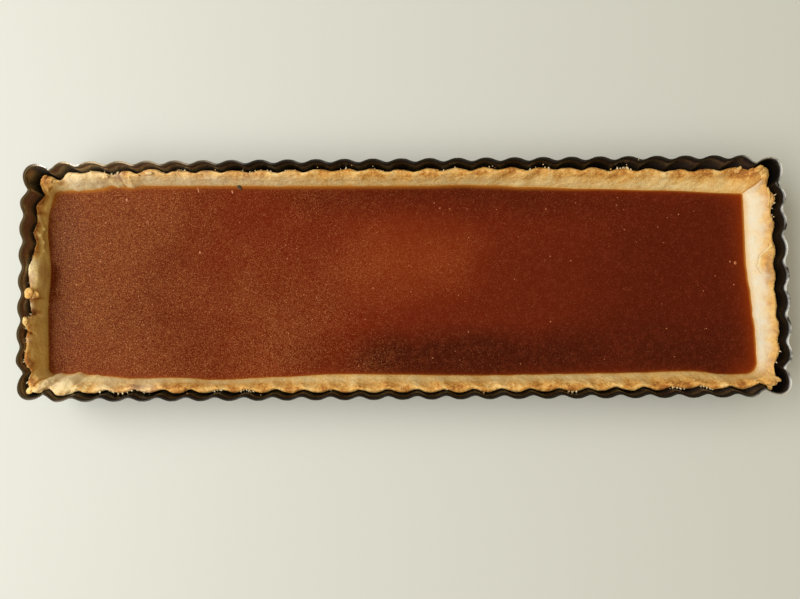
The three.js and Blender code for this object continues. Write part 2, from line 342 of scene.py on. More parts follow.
# folds and creases across the pastry's edge: from x, y to x, y, half width, then how far it
# stands up (above 0, a fold) or cuts in (below 0, a crease)
EDGE_FOLDS = [
    (-170.9, -15.9, -168.0, -15.6, 0.6, 0.5),    # the flap's lifted edge
    (-163.6, -42.6, -168.0, -49.6, 0.45, -0.9),  # left front corner crease
    (-160.6, -44.0, -166.2, -51.0, 1.5, 0.7),    # bulge beside it
    (-157.6, -43.4, -162.6, -51.0, 0.7, -0.6),   # pleat
    (-151.7, -43.0, -158.6, -52.2, 1.7, 0.9),    # broad pleat fold
    (-147.6, -43.0, -151.8, -51.0, 0.9, -0.5),   # hollow after it
    (-143.0, -44.0, -146.0, -51.5, 1.6, 0.5),
    (161.7, 40.0, 167.4, 45.9, 0.35, -0.7),      # right back corner crease
    (-131.7, 45.2, -131.5, 51.0, 0.5, -0.9),     # back left crease
    (-135.0, 46.0, -137.0, 51.0, 1.2, 0.6),      # folds beside it
    (-127.5, 45.5, -126.5, 51.0, 1.3, 0.5),
    (-154.0, 44.6, -155.5, 50.5, 1.6, 0.4),
]

# folds and tears on the steep inner face: from x, y, z to x, y, z, half width, stand
FACE_FOLDS = [
    (-169.4, 31.0, 18.2, -168.5, 25.4, 15.8, 0.75, 0.9),    # winding fold, slumped stretch
    (-168.5, 25.4, 15.8, -169.2, 21.9, 17.7, 0.75, 0.9),
    (-169.2, 21.9, 17.7, -168.2, 19.0, 16.7, 0.75, 0.9),
    (-168.2, 19.0, 16.7, -167.6, 15.0, 16.8, 0.75, 0.9),
    (-167.6, 15.0, 16.8, -168.2, 10.8, 18.6, 0.75, 0.8),
    (-168.4, 27.0, 14.4, -167.8, 16.0, 14.8, 0.9, -0.5),    # hollow below it
    (-172.0, -15.4, 21.4, -169.6, -14.4, 20.6, 0.9, -2.6),  # upper tear
    (-169.6, -14.4, 20.6, -167.4, -13.7, 18.8, 0.7, -1.5),
    (-168.8, 7.6, 21.2, -168.4, -0.8, 21.0, 2.5, 1.5),      # pillowy folded piece
    (-173.0, -22.4, 23.0, -170.2, -23.7, 21.6, 0.5, -1.5),  # lower tear
    (-170.2, -23.7, 21.6, -167.8, -25.2, 19.4, 0.4, -0.9),
    (169.6, 13.8, 20.6, 166.6, 9.4, 18.0, 0.55, 1.3),       # blister's rim
    (166.6, 9.4, 18.0, 165.8, 4.6, 17.2, 0.55, 1.2),
    (165.8, 4.6, 17.2, 166.8, 1.4, 18.0, 0.5, 0.8),
    (168.2, 8.0, 19.5, 168.0, 3.6, 19.2, 1.4, -0.7),        # hollow inside it
    (165.3, 18.2, 16.4, 167.0, 16.8, 18.1, 0.4, 0.4),       # thin line running to it
    (167.0, 16.8, 18.1, 169.6, 15.0, 20.4, 0.4, 0.4),
]


# how much browner each side is coloured: right, back, left, front; the back's low value is painted
# light
SIDE_BROWNING = [0.08, -0.03, 0.08, 0.02]

# places coloured browner or paler, mostly by baking, some as painted shade and light: x, y, reach,
# how much
BAKED = [
    # left side, from the back; at the blob's crease and right side, the pillowy piece's right part
    # and the upper tear these darken as painted shade
    (-169.5, 37.5, 1.6, 0.15), (-168.7, 32.8, 1.5, 0.45), (-171.4, 26.0, 1.4, 0.4),
    (-171.4, 20.0, 1.4, 0.35), (-170.6, 14.0, 1.6, 0.4), (-168.4, 3.4, 2.6, 0.55),
    (-166.8, 6.6, 1.6, 0.3), (-168.6, -7.6, 1.0, 0.5), (-169.4, -5.9, 2.4, 0.2),
    (-169.8, -14.6, 1.5, 1.1), (-169.4, -20.0, 1.6, 0.25), (-169.0, -29.0, 2.0, 0.3),
    (-169.0, -38.0, 2.6, 0.35), (-167.6, -45.0, 2.0, 0.3), (-165.6, 47.6, 2.0, 0.8),
    (-164.8, 44.0, 1.4, 0.3),
    # right side
    (169.4, 8.6, 2.2, 0.3), (168.4, 5.0, 1.8, 0.3), (164.0, 48.6, 2.4, 0.2),
    (167.2, 44.0, 2.2, 0.3),
    # front; the first two darken and lighten as painted shade and light, evening out the light
    # along the front
    (125.0, -48.0, 12.0, 0.15), (75.0, -48.0, 8.0, -0.12), (-145.0, -47.0, 3.5, 0.2),
    (166.0, -47.0, 5.0, 0.1), (-157.0, -48.0, 9.0, -0.4), (-146.0, -48.5, 7.0, -0.35),
    # back
    (-150.0, 47.0, 8.0, -0.35), (-133.0, 50.0, 2.2, 0.3), (160.0, 46.0, 4.0, 0.2),
]

# places coloured nearly white, mostly pastry that stayed pale, some as painted light: x, y, reach,
# how much
WHITE = [
    # front left
    (-158.0, -46.5, 5.0, 0.8), (-151.0, -46.5, 3.5, 0.4), (-136.0, -47.5, 5.0, 0.5),
    (-119.0, -48.0, 7.0, 0.5),
    # back left; the strip along the back is painted light, brighter toward the window
    (-154.0, 46.0, 5.0, 0.8), (-144.0, 46.5, 6.0, 0.8), (-133.0, 47.5, 5.0, 0.6),
    (-119.0, 47.5, 7.0, 0.6), (-104.0, 47.5, 7.0, 0.6), (-88.0, 47.5, 8.0, 0.6),
    (-70.0, 47.5, 8.0, 0.4), (-54.0, 47.5, 7.0, 0.3),
    # left side, the pillowy piece's lit left part as painted light, and the right blister, which
    # isn't white
    (-170.6, 5.6, 2.4, 0.8), (-172.4, -17.8, 1.4, 0.6), (-172.6, -5.0, 1.2, 0.6),
    (-171.4, -10.0, 1.4, 0.3), (-170.8, -27.0, 1.2, 0.4), (-170.4, -49.6, 1.6, 0.4),
    (168.4, 7.0, 3.2, -0.9), (-171.2, -11.5, 1.6, 0.7), (-171.6, 8.0, 2.0, 0.5),
]


def spotted(point, spots):
    total = 0.0
    for x, y, reach, amount in spots:
        away = math.hypot(point.x - x, point.y - y) / reach
        if away < 3:
            total += amount * math.exp(-away * away)
    return total


def beside(point, start, end, width, stand):
    """How much a fold between two points lifts the skin at a point."""
    line = end - start
    share = min(1.0, max(0.0, (point - start).dot(line) / line.length_squared))
    away = point - start - line * share
    away = Vector((away.x, away.y, 0.5 * away.z)).length / width
    return stand * math.exp(-away * away) if away < 3 else 0.0


def fold_amount(point):
    total = 0.0
    flat = raised(point, 0)
    for x1, y1, x2, y2, width, stand in EDGE_FOLDS:
        total += beside(flat, Vector((x1, y1, 0)), Vector((x2, y2, 0)), width, stand)
    for x1, y1, z1, x2, y2, z2, width, stand in FACE_FOLDS:
        total += beside(point, Vector((x1, y1, z1)), Vector((x2, y2, z2)), width, stand)
    return total


def rounding(station):
    """How round the inner face is: most along the left side, but less on its pillowy piece."""
    side, part, turn = station
    if part is not None:
        pillow = math.exp(-((part + 0.09) / 0.14) ** 2)
        return 1.0 - 0.9 * pillow if side == 2 else USUAL_ROUNDING
    if side == 1:
        return lerp(USUAL_ROUNDING, 1.0, smoothstep(turn, 0.3, 1.0))
    if side == 2:
        return lerp(1.0, USUAL_ROUNDING, smoothstep(turn, 0.0, 0.7))
    return USUAL_ROUNDING


def crest_at(station):
    """The pastry's edge: outer point, inward direction, way to the filling, height, thickness."""
    side, part, turn = station
    flat = smoothstep(part, 0.2, 0.45) if side == 2 and part is not None else 0.0
    depth = (FRONT_FLUTE_DEPTH if side == 3 else CREST_FLUTE_DEPTH) * (1 - 0.45 * flat)
    plain = fluted_point(station, WALL_LEAN * (TIN_HEIGHT - CREST_HEIGHT), LIP_WIDTH + SHRINK_GAP,
                         depth, PASTRY_KNOB_RADIUS, PASTRY_KNOB_INSET + LIP_WIDTH + SHRINK_GAP)
    spot = raised(plain, 0)
    height = CREST_HEIGHT + swelling(plain, 0)
    height += 0.7 * rough(spot, 11, 1) + 0.5 * rough(spot, 4.5, 2)
    out = swelling(plain, 1) + 0.35 * rough(spot, 8, 3) + 0.3 * rough(spot, 3.1, 4)
    gap = max(SHRINK_GAP - out, CLOSEST_GAP)
    outer = fluted_point(station, WALL_LEAN * (TIN_HEIGHT - height + 1.2), LIP_WIDTH + gap,
                         depth, PASTRY_KNOB_RADIUS, PASTRY_KNOB_INSET + LIP_WIDTH + gap)
    inward = filling_point(station, 0) - outer
    width = inward.length
    inward.normalize()
    thick = CREST_THICKNESS + swelling(plain, 2) + 0.6 * rough(spot, 7, 5)
    thick += ROUNDING * rounding(station)
    return outer, inward, width, height, min(thick, 0.66 * width)


def slope_tops(stations, crest):
    """Where the inner face begins: the filling's outline drawn out, evened round the loop."""
    count = len(stations)
    rests = [width - thick for outer, inward, width, height, thick in crest]
    for i in range(count):
        side, part, turn = stations[i]
        if part is None:
            before = next(k for k in range(i, i - count, -1) if stations[k % count][1] is not None)
            after = next(k for k in range(i, i + count) if stations[k % count][1] is not None)
            rests[i] = lerp(rests[before % count], rests[after % count], turn)
    reach = 7
    evened = [sum(rests[(i + k) % count] for k in range(-reach, reach + 1)) / (2 * reach + 1)
              for i in range(count)]
    return [filling_point(stations[i], -evened[i]) for i in range(count)]


def curve_through(points, share):
    """A smooth curve through the points, evenly timed."""
    at = share * (len(points) - 1)
    k = min(int(at), len(points) - 2)
    t = at - k
    a, b, c, d = (points[min(max(k + step, 0), len(points) - 1)] for step in (-1, 0, 1, 2))
    return tuple(
        0.5 * (2 * q + (r - p) * t + (2 * p - 5 * q + 4 * r - u) * t * t
               + (3 * q - p - 3 * r + u) * t ** 3) for p, q, r, u in zip(a, b, c, d))


def painted_light_right_share(station):
    """How far a station belongs to the right side, cream coloured as painted light, 0 to 1."""
    side, part, turn = station
    if side == 0 and part is not None:
        return smoothstep(part, -1.15, -0.9)
    if side == 0:
        return 1.0 - smoothstep(turn, 0.45, 0.5)
    if side == 3 and part is None:
        return 0.65 * smoothstep(turn, 0.2, 1.0)
    return 0.0


class Pastry:
    """The rows of the pastry's skin and their shades.

    The outer face rises in OUTER_ROWS to the shoulder. The open face runs in OPEN_ROWS from
    there over the edge and down to the filling, and share says how far along it a row is.
    """

    OUTER_ROWS = 7
    OPEN_ROWS = 34
    FIRST = 2 + OUTER_ROWS

    def __init__(self):
        self.stations = stations_round(*PASTRY_STEPS)
        self.crest = [crest_at(station) for station in self.stations]
        self.tops = slope_tops(self.stations, self.crest)
        self.foot = [filling_point(station, FOOT_GAP) for station in self.stations]
        self.base = [self.base_point(station) for station in self.stations]
        self.stood = {}

    def base_point(self, station):
        gap = LIP_WIDTH + FOOT_GAP
        return fluted_point(station, WALL_LEAN * (TIN_HEIGHT - PASTRY_BOTTOM), gap, FLUTE_DEPTH,
                            PASTRY_KNOB_RADIUS, PASTRY_KNOB_INSET + gap)

    def outer_face(self, share):
        def ring(i):
            outer, inward, width, height, thick = self.crest[i]
            top = raised(outer, height - PASTRY_SHOULDER)
            point = raised(self.base[i], PASTRY_BOTTOM).lerp(top, share)
            push = 0.2 * rough(point, 1.8, 6) * smoothstep(share, 0.3, 0.9)
            return point - raised(inward * push, 0)
        return ring

    def section(self, i, share):
        """A smooth point of the open face."""
        outer, inward, width, height, thick = self.crest[i]
        round_off = rounding(self.stations[i])
        sunk = FILLING_LEVEL - FILLING_RIM_DROP
        slope = height - 1.5
        way, z = curve_through([
            (0, height - PASTRY_SHOULDER), (0.1, height - 0.5), (0.36, height),
            (0.68, height - 0.5 - 0.4 * round_off), (1.0, slope - 1.3 * round_off),
            (1.33, lerp(slope, sunk, 0.34) - 0.6 * round_off),
            (1.67, lerp(slope, sunk, 0.7)), (2.0, sunk)], share)
        top = self.tops[i]
        return raised(outer.lerp(top, way) if way < 1 else top.lerp(self.foot[i], way - 1), z)

    def relief(self, point, share):
        """Crumbly near the edge, only softly uneven on the inner face."""
        crumbly = smoothstep(share, 0.0, 0.1) * (1 - 0.55 * smoothstep(share, 0.45, 0.8))
        relief = 0.24 * rough(point, 6.0, 9) + 0.13 * rough(point, 2.8, 10)
        relief += crumbly * (0.2 * rough(point, 1.9, 7) + 0.17 * rough(point, 1.0, 8))
        relief += 0.08 * rough(point, 1.4, 11)
        return relief * (1 - smoothstep(share, 0.94, 1.0))

    def open_face(self, share):
        def ring(i):
            inward = self.crest[i][1]
            point = self.section(i, share)
            folded = fold_amount(point) * smoothstep(share, 0.0, 0.08)
            self.stood[i, round(share * self.OPEN_ROWS)] = folded
            lean = smoothstep(share, 0.1, 0.7)
            normal = raised(inward * lerp(-0.45, 0.9, lean), lerp(1.0, 0.4, lean))
            return point + normal * (self.relief(point, share) + folded)
        return ring

    def share(self, j):
        return min(1.0, max(0.0, (j - self.FIRST) / self.OPEN_ROWS))

    def folded(self, i, j):
        return self.stood.get((i, j - self.FIRST), 0.0)

    def browning(self, i, j, point):
        """Browner at the edge, lobes, patches and peaks; folds paler, creases darker: painted light
        and shade.
        """
        if j < self.FIRST:
            return 0.3
        share = self.share(j)
        side, part, turn = self.stations[i]
        count = 0.5 if part is None else part * SIDES[side]["flutes"] / 2
        lobe = 0.5 + 0.5 * math.cos(2 * math.pi * count)
        spot = raised(point, 0)
        patch = 0.5 + 0.7 * rough(spot, 9, 14) + 0.4 * rough(spot, 3.5, 15)
        peaks = rough(point, 1.9, 7) + 0.7 * rough(point, 1.0, 8)
        edge = (1 - 0.7 * smoothstep(share, 0.4, 0.85)) * lerp(0.7, 1, smoothstep(share, 0, 0.2))
        if side == 2:
            edge *= 1.25 - 0.65 * smoothstep(share, 0.3, 0.6)
        amount = edge * (0.48 + 0.22 * lobe + 0.45 * (patch - 0.45)) + 0.16 * peaks * (0.3 + edge)
        folded = self.folded(i, j)
        # painted highlight on fold ridges, darker creases partly painted shade
        amount -= 0.3 * max(0.0, folded) + 0.35 * min(0.0, folded)
        return min(1.2, max(0.0, amount + SIDE_BROWNING[side] + spotted(point, BAKED)))

    def inner(self, i, j, point):
        return smoothstep(self.share(j), 0.3, 0.62)

    def pale(self, i, j, point):
        share = self.share(j)
        station = self.stations[i]
        # painted light: the right side's cream stands for the light falling full on it
        white = painted_light_right_share(station) * smoothstep(share + 0.12 * rough(point, 3, 16), 0.32, 0.8)
        white += spotted(point, WHITE) * (1 + 0.5 * rough(point, 2.2, 17))
        if station[0] == 1 and point.x > -130:
            white *= lerp(0.35, 1.15, smoothstep(share, 0.35, 0.6))
        # painted highlight: fold ridges on the left coloured paler
        if point.x < -160:
            white += 0.6 * max(0.0, self.folded(i, j))
        return min(1.0, max(white, 0.0))

    def glazed(self, i, j, point):
        return smoothstep(self.share(j), 0.82, 0.99)


PASTRY_SHADES = ("browning", "inner", "pale", "glazed")


def make_crust():
    pastry = Pastry()
    stations = pastry.stations
    floor = PASTRY_BOTTOM + PASTRY_FLOOR
    rings = [pole(PASTRY_BOTTOM), inner_plate(stations, PASTRY_BOTTOM, PLATE_INSET)]
    rings += [pastry.outer_face(j / pastry.OUTER_ROWS) for j in range(pastry.OUTER_ROWS)]
    rings += [pastry.open_face(j / pastry.OPEN_ROWS) for j in range(pastry.OPEN_ROWS + 1)]
    rings += [lambda i: raised(filling_point(stations[i], FOOT_SPREAD), floor), pole(floor)]
    return wrapped_skin("pastry_shell", stations, rings,
                        {shade: getattr(pastry, shade) for shade in PASTRY_SHADES})


# lumps, flaps and tips on the pastry's edge: middle x, y, z, half sizes, turn
LUMPS = [
    (-170.4, -5.5, 23.4, 2.4, 2.6, 1.2, 0.2),      # round blob
    (-168.6, -6.2, 22.2, 2.4, 1.9, 1.3, 0.1),
    (-171.6, -18.2, 24.0, 1.4, 2.0, 0.8, 0.1),     # flap
    (-170.6, -39.0, 22.4, 0.7, 0.6, 0.5, -0.4),    # tooth along the left front band
    (-168.6, -49.6, 23.5, 2.2, 1.5, 0.8, 0.6),     # left front tip
    (-165.2, -49.9, 22.9, 2.2, 1.1, 0.7, 0.1),
    (169.0, -47.1, 22.0, 1.9, 1.1, 0.7, -0.4),     # right front tips
    (165.6, -50.5, 21.9, 1.1, 1.7, 0.7, 0.2),
    (163.4, 48.6, 24.0, 2.6, 1.3, 0.8, 0.55),      # right back tips
    (166.6, 45.7, 22.9, 1.4, 2.6, 0.9, 0.2),
    (165.4, 47.4, 23.4, 1.3, 1.0, 0.8, 0.9),
    (161.4, 48.8, 22.4, 1.6, 0.7, 0.7, 0.2),
    (155.4, 48.9, 21.5, 0.7, 1.6, 2.1, -0.35),     # upright flake
    (155.9, 49.6, 22.7, 0.5, 0.8, 0.7, 0.1),
    (-163.6, 47.4, 20.6, 1.9, 1.2, 1.1, 0.4),      # left back tip
    (-165.8, 48.6, 21.2, 1.3, 0.9, 0.8, 0.7),
    (-117.0, 49.9, 21.8, 1.9, 0.9, 0.8, 0.1),      # back left lumps
    (-137.5, 48.6, 21.4, 1.6, 0.9, 0.7, 0.3),
    (168.6, 37.8, 22.2, 0.6, 2.9, 0.5, 0.12),      # right flakes
    (168.9, 33.2, 21.4, 0.5, 2.0, 0.5, -0.15),
]
LUMP_REACH = 9.0           # how far from a lump's middle its joint can lie
JOINT_PASSES = 5


def add_lump(bm, place, half, turn, seed, detail=3, ragged=0.22):
    """An uneven lump: a ball drawn out to its half sizes, roughened and turned."""
    made = bmesh.ops.create_icosphere(bm, subdivisions=detail, radius=1)
    spin = Matrix.Rotation(turn, 3, "Z")
    offset = Vector((seed * 3.7, seed * 1.9, seed * 7.3))
    for vert in made["verts"]:
        push = 1 + ragged * noise.noise(vert.co * 1.6 + offset)
        push += 0.55 * ragged * noise.noise(vert.co * 3.9 + offset)
        shaped = Vector(vert.co[k] * push * half[k] for k in range(3))
        vert.co = (Vector(place) + spin @ shaped) * MM
    return made["verts"]


def near_joint(point, lump):
    """Whether a point lies about where a lump's skin runs into the pastry."""
    x, y, z, half_x, half_y, half_z, turn = lump
    away = point - Vector((x, y, z))
    if abs(away.x) + abs(away.y) > LUMP_REACH:
        return False
    away = Matrix.Rotation(-turn, 3, "Z") @ away
    return 0.7 < Vector((away.x / half_x, away.y / half_y, away.z / half_z)).length < 1.6


def ease_joints(mesh):
    """Smooths the skin where the lumps run into it."""
    bm = bmesh.new()
    bm.from_mesh(mesh)
    joint = [vert for vert in bm.verts if any(near_joint(vert.co / MM, lump) for lump in LUMPS)]
    for _ in range(JOINT_PASSES):
        bmesh.ops.smooth_vert(bm, verts=joint, factor=0.4, use_axis_x=True, use_axis_y=True,
                              use_axis_z=True)
    bmesh.ops.recalc_face_normals(bm, faces=bm.faces)
    bm.to_mesh(mesh)
    bm.free()


def unite(body, others):
    """Unites closed pieces with a body, so that one closed skin is left."""
    for other in others:
        union = body.modifiers.new("union", "BOOLEAN")
        union.operation, union.solver, union.object = "UNION", "MANIFOLD", other
    united = bpy.data.meshes.new_from_object(
        body.evaluated_get(bpy.context.evaluated_depsgraph_get()))
    body.modifiers.clear()
    name = body.data.name
    body.data.name = "before"
    united.name = name
    body.data = united
    for other in others:
        bpy.data.objects.remove(other)


def make_lump(seed, lump):
    x, y, z, half_x, half_y, half_z, turn = lump
    bm = bmesh.new()
    layers = [bm.verts.layers.float.new(shade) for shade in PASTRY_SHADES]
    for vert in add_lump(bm, (x, y, z), (half_x, half_y, half_z), turn, seed, detail=4):
        point = vert.co / MM
        crown = (point.z - z) / half_z
        vert[layers[0]] = (0.52 + 0.2 * crown * rough(point, 2.0, 21) + 0.3 * rough(point, 1.0, 8)
                           + spotted(point, BAKED))
        vert[layers[1]] = 0.6
        vert[layers[2]] = min(1.0, spotted(point, WHITE))
    return to_object(bm, "lump")


def join_lumps(crust):
    """Every lump is united with the shell, so the pastry stays one closed skin."""
    lumps = [make_lump(seed + 1, lump) for seed, lump in enumerate(LUMPS)]
    unite(lumps[0], lumps[1:])
    unite(crust, lumps[:1])
    ease_joints(crust.data)


# ---------------------------------------------------------------- the filling

SPINE_HALF = 118.0         # half the line along the middle where the filling's top meets

# how far in from its edge each row of the filling's top lies
TOP_ROWS = (0.0, 0.15, 0.35, 0.6, 0.9, 1.3, 1.8, 2.4, 3.2, 4.2, 5.5, 7, 9, 11.5, 14, 17, 20, 24,
            28, 32, 36, 40, 44)


def middle_share(station):
    """Where a station meets the line along the filling's middle: -1 its left end, 1 its right."""
    side, part, turn = station
    if side in (0, 2) or part is None:
        return 1 if side in (0, 3) else -1
    return -part if side == 1 else part


def make_filling():
    """The filling, its top carried in from the edge to a line along its middle."""
    stations = stations_round(*FILLING_STEPS)
    floor = PASTRY_BOTTOM + PASTRY_FLOOR + 0.1
    edge = [filling_point(station, -0.05) for station in stations]
    spine = [Vector((SPINE_HALF * middle_share(station), 0)) for station in stations]

    def ring(z, inset):
        return lambda i: raised(filling_point(stations[i], inset), z)

    def surface(inset):
        def place(i):
            way = spine[i] - edge[i]
            point = edge[i] + way * min(1.0, inset / TOP_ROWS[-1])
            climb = 0.25 * math.exp(-inset / 0.5)
            spot = raised(point, 0)
            ripple = 0.06 * rough(spot, 24, 12) + 0.02 * rough(spot, 8, 13)
            return raised(point, FILLING_LEVEL + climb + ripple * smoothstep(inset, 0.5, 4))
        return place

    rings = [pole(floor), ring(floor, FOOT_SPREAD + 0.1),
             ring(FILLING_LEVEL - FILLING_RIM_DROP, -0.02)]
    first = len(rings)
    rings += [surface(inset) for inset in TOP_ROWS]

    def thinness(i, j, point):
        if j < first:
            return 1.0
        back = smoothstep(edge[i].y, 36, 40) * (1 - smoothstep(edge[i].x, 50, 110))
        right = smoothstep(edge[i].x, 155, 160)
        return math.exp(-TOP_ROWS[j - first] / (0.5 + 0.5 * back)) * (0.6 + 0.4 * max(back, right))

    def glow(i, j, point):
        right = smoothstep(edge[i].x, 150, 162)
        back = smoothstep(edge[i].y, 36, 40)
        inset = 0 if j < first else TOP_ROWS[j - first]
        return math.exp(-inset / (1.2 + 2.2 * right)) * (0.5 + 0.4 * right + 0.2 * back)

    return wrapped_skin("chocolate_filling", stations, rings, {"thinness": thinness, "glow": glow})


# ---------------------------------------------------------------- crumbs, flakes and bubbles


def along_side(side, along):
    """The station nearest to a place along a side."""
    half = SIDES[side]["flutes"] * SIDES[side]["pitch"] / 2
    return side, along / half, None


CRUMBS = 120
CRUMBS_BY_SIDE = (1, 5, 2, 5)    # their shares: right, back, left, front

# crumbs caught on the tin's lip: x, y
LIP_CRUMBS = [(-22.6, 51.9), (40.3, 50.6), (108.5, 53.2), (65.0, 51.4), (103.0, 50.9),
              (-97.0, -51.5)]


def make_crumbs():
    """Loose crumbs on the pastry's edge, in the gap beside it and on the tin's lip."""
    pick = random.Random(11)
    bm = bmesh.new()
    for k in range(CRUMBS):
        side = pick.choices(range(4), CRUMBS_BY_SIDE)[0]
        crest = crest_at((side, pick.uniform(-0.99, 0.99), None))
        outer, inward, width, height, thick = crest
        across = pick.choice((pick.uniform(-0.3, 0.4), pick.uniform(0.2, 0.9))) * thick
        size = pick.uniform(0.16, 0.34) * (1.5 if pick.random() < 0.1 else 1)
        sunk = 0.9 if across < 0.6 else 0.05
        place = raised(outer + inward * across, height - sunk + 0.1 * size)
        half = [size * pick.uniform(0.7, 1.3) for _ in range(3)]
        add_lump(bm, place, half, pick.uniform(0, 3), k, detail=2, ragged=0.7)
    for x, y in LIP_CRUMBS:
        size = pick.uniform(0.22, 0.34)
        half = (size, size * 0.8, size * 0.7)
        add_lump(bm, (x, y, TIN_HEIGHT - 0.1), half, pick.uniform(0, 3), x, detail=2, ragged=0.7)
    return to_object(bm, "pastry_crumbs")


# ragged fringes on the pastry's outer edge: side, from and to along it, how many
FRINGES = [
    (1, -71.0, -58.0, 4), (1, -108.0, -100.0, 8), (1, 20.0, 34.0, 2), (1, -26.0, -18.0, 2),
    (1, 132.0, 140.0, 4), (3, -140.0, -132.0, 3), (3, -134.0, -119.0, 7), (3, -87.0, -83.0, 4),
    (3, -75.0, -68.0, 5), (3, 75.0, 80.0, 4), (3, 122.0, 130.0, 5), (3, 136.0, 142.0, 5),
    (2, 25.0, 48.0, 12), (2, 15.0, 22.0, 5), (2, -12.0, 2.0, 5), (0, 28.0, 42.0, 5),
    (0, -42.0, -30.0, 3), (1, 60.0, 75.0, 6), (1, 101.0, 106.0, 4),
]


def make_flakes():
    """Thin ragged flakes that stick out from the pastry's outer edge."""
    pick = random.Random(5)
    bm = bmesh.new()
    for side, start, end, count in FRINGES:
        for k in range(count):
            station = along_side(side, lerp(start, end, (k + pick.uniform(0.1, 0.9)) / count))
            outer, inward, width, height, thick = crest_at(station)
            reach = pick.uniform(0.45, 0.85)
            place = raised(outer + inward * (0.25 - reach * 0.3), height - pick.uniform(0.5, 1.2))
            turn = math.atan2(-inward.y, -inward.x) + pick.uniform(-0.6, 0.6)
            half = (reach, pick.uniform(0.18, 0.4), pick.uniform(0.12, 0.25))
            add_lump(bm, place, half, turn, len(bm.verts) % 977, detail=2, ragged=0.8)
    return to_object(bm, "pastry_flakes")


SMALL_BUBBLES = 150

# larger bubbles that show singly: x, y, half sizes, turn
LONE_BUBBLES = [(-96.9, 44.0, 0.42, 1.4, 0.2), (-80.6, 42.8, 0.4, 0.9, 0.3),
                (-131.0, 39.4, 0.5, 0.9, 0.1), (-95.8, 14.0, 0.5, 0.6, 0.0),
                (157.0, 6.8, 0.6, 0.8, 0.1), (154.6, 7.4, 0.35, 0.4, 0.1)]


def make_bubbles():
    """Small set bubbles that stand a little above the filling, most of them at the left."""
    pick = random.Random(3)
    bm = bmesh.new()
    for k in range(SMALL_BUBBLES):
        x = -162 + 320 * pick.random() ** 1.5
        y = pick.uniform(-42, 40)
        half = pick.uniform(0.15, 0.34)
        add_lump(bm, (x, y, FILLING_LEVEL - 0.02), (half, half * pick.uniform(0.8, 1.5), 0.14),
                 pick.uniform(0, 3), k, detail=2, ragged=0.3)
    for x, y, half_x, half_y, turn in LONE_BUBBLES:
        add_lump(bm, (x, y, FILLING_LEVEL), (half_x, half_y, 0.2), turn, x, ragged=0.3)
    return to_object(bm, "filling_bubbles")


def make_speck():
    """Two dark scraps against the back edge of the filling."""
    bm = bmesh.new()
    for x, y, lift, half, turn, seed in ((-77.4, 45.4, 0.35, (0.75, 1.1, 0.4), 0.5, 4),
                                         (-76.7, 44.4, 0.25, (0.5, 0.6, 0.3), 0.2, 5)):
        add_lump(bm, (x, y, FILLING_LEVEL + lift), half, turn, seed, ragged=0.7)
    return to_object(bm, "dark_scrap")


# ---------------------------------------------------------------- materials


class Nodes:
    """A short way to lay out a material's nodes."""

    def __init__(self, name):
        self.material = bpy.data.materials.new(name)
        self.material.use_nodes = True
        self.tree = self.material.node_tree
        self.shader = self.tree.nodes["Principled BSDF"]

    def add(self, kind, inputs=(), **settings):
        node = self.tree.nodes.new(kind)
        for key, value in settings.items():
            setattr(node, key, value)
        for socket, value in dict(inputs).items():
            self.put(value, node.inputs[socket])
        return node

    def put(self, value, socket):
        if isinstance(value, bpy.types.NodeSocket):
            self.tree.links.new(value, socket)
        else:
            socket.default_value = value

    def where(self):
        return self.add("ShaderNodeTexCoord").outputs["Object"]

    def noise(self, scale, detail=3.0, rough=0.55, vector=None):
        inputs = {"Scale": scale, "Detail": detail, "Roughness": rough,
                  "Vector": vector or self.where()}
        return self.add("ShaderNodeTexNoise", inputs).outputs["Fac"]

    def ramp(self, value, stops):
        node = self.add("ShaderNodeValToRGB", {"Fac": value})
        elements = node.color_ramp.elements
        while len(elements) < len(stops):
            elements.new(0.5)
        for element, (place, colour) in zip(elements, stops):
            element.position = place
            element.color = (*colour, 1)
        return node.outputs["Color"]

    def fit(self, value, low, high, to_low=0.0, to_high=1.0):
        inputs = {"Value": value, "From Min": low, "From Max": high,
                  "To Min": to_low, "To Max": to_high}
        return self.add("ShaderNodeMapRange", inputs).outputs["Result"]

    def math(self, operation, a, b=0.0):
        node = self.add("ShaderNodeMath", {0: a, 1: b}, operation=operation)
        return node.outputs[0]

    def mix(self, share, a, b):
        node = self.add("ShaderNodeMix", data_type="RGBA")
        self.put(share, node.inputs[0])
        self.put(a if isinstance(a, bpy.types.NodeSocket) else (*a, 1), node.inputs[6])
        self.put(b if isinstance(b, bpy.types.NodeSocket) else (*b, 1), node.inputs[7])
        return node.outputs[2]

    def bump(self, height, strength, distance, normal=None):
        inputs = {"Height": height, "Strength": strength, "Distance": distance}
        if normal:
            inputs["Normal"] = normal
        return self.add("ShaderNodeBump", inputs).outputs["Normal"]

    def layer(self, name):
        return self.add("ShaderNodeAttribute", attribute_name=name).outputs["Fac"]

    def times(self, a, b):
        return self.math("MULTIPLY", a, b)

    def finish(self, piece, **sockets):
        for name, value in sockets.items():
            socket = name.replace("_", " ").title().replace("Ior", "IOR")
            self.put(value, self.shader.inputs[socket])
        piece.data.materials.clear()
        piece.data.materials.append(self.material)


def srgb(red, green, blue):
    """A colour given as 0..255 screen values, in the linear values that shaders take."""
    def linear(value):
        share = value / 255
        return share / 12.92 if share <= 0.04045 else ((share + 0.055) / 1.055) ** 2.4
    return tuple(linear(value) for value in (red, green, blue))


# painted glints on the rim's bead at the corners: x, y, reach in metres, and the noise from which
# the flecks show
PAINTED_GLINTS = [(-0.1640, 0.0528, 0.0045, 0.42), (-0.1500, 0.0533, 0.0045, 0.42),
          (0.1738, 0.0480, 0.0060, 0.2), (0.1738, -0.0500, 0.0060, 0.2)]


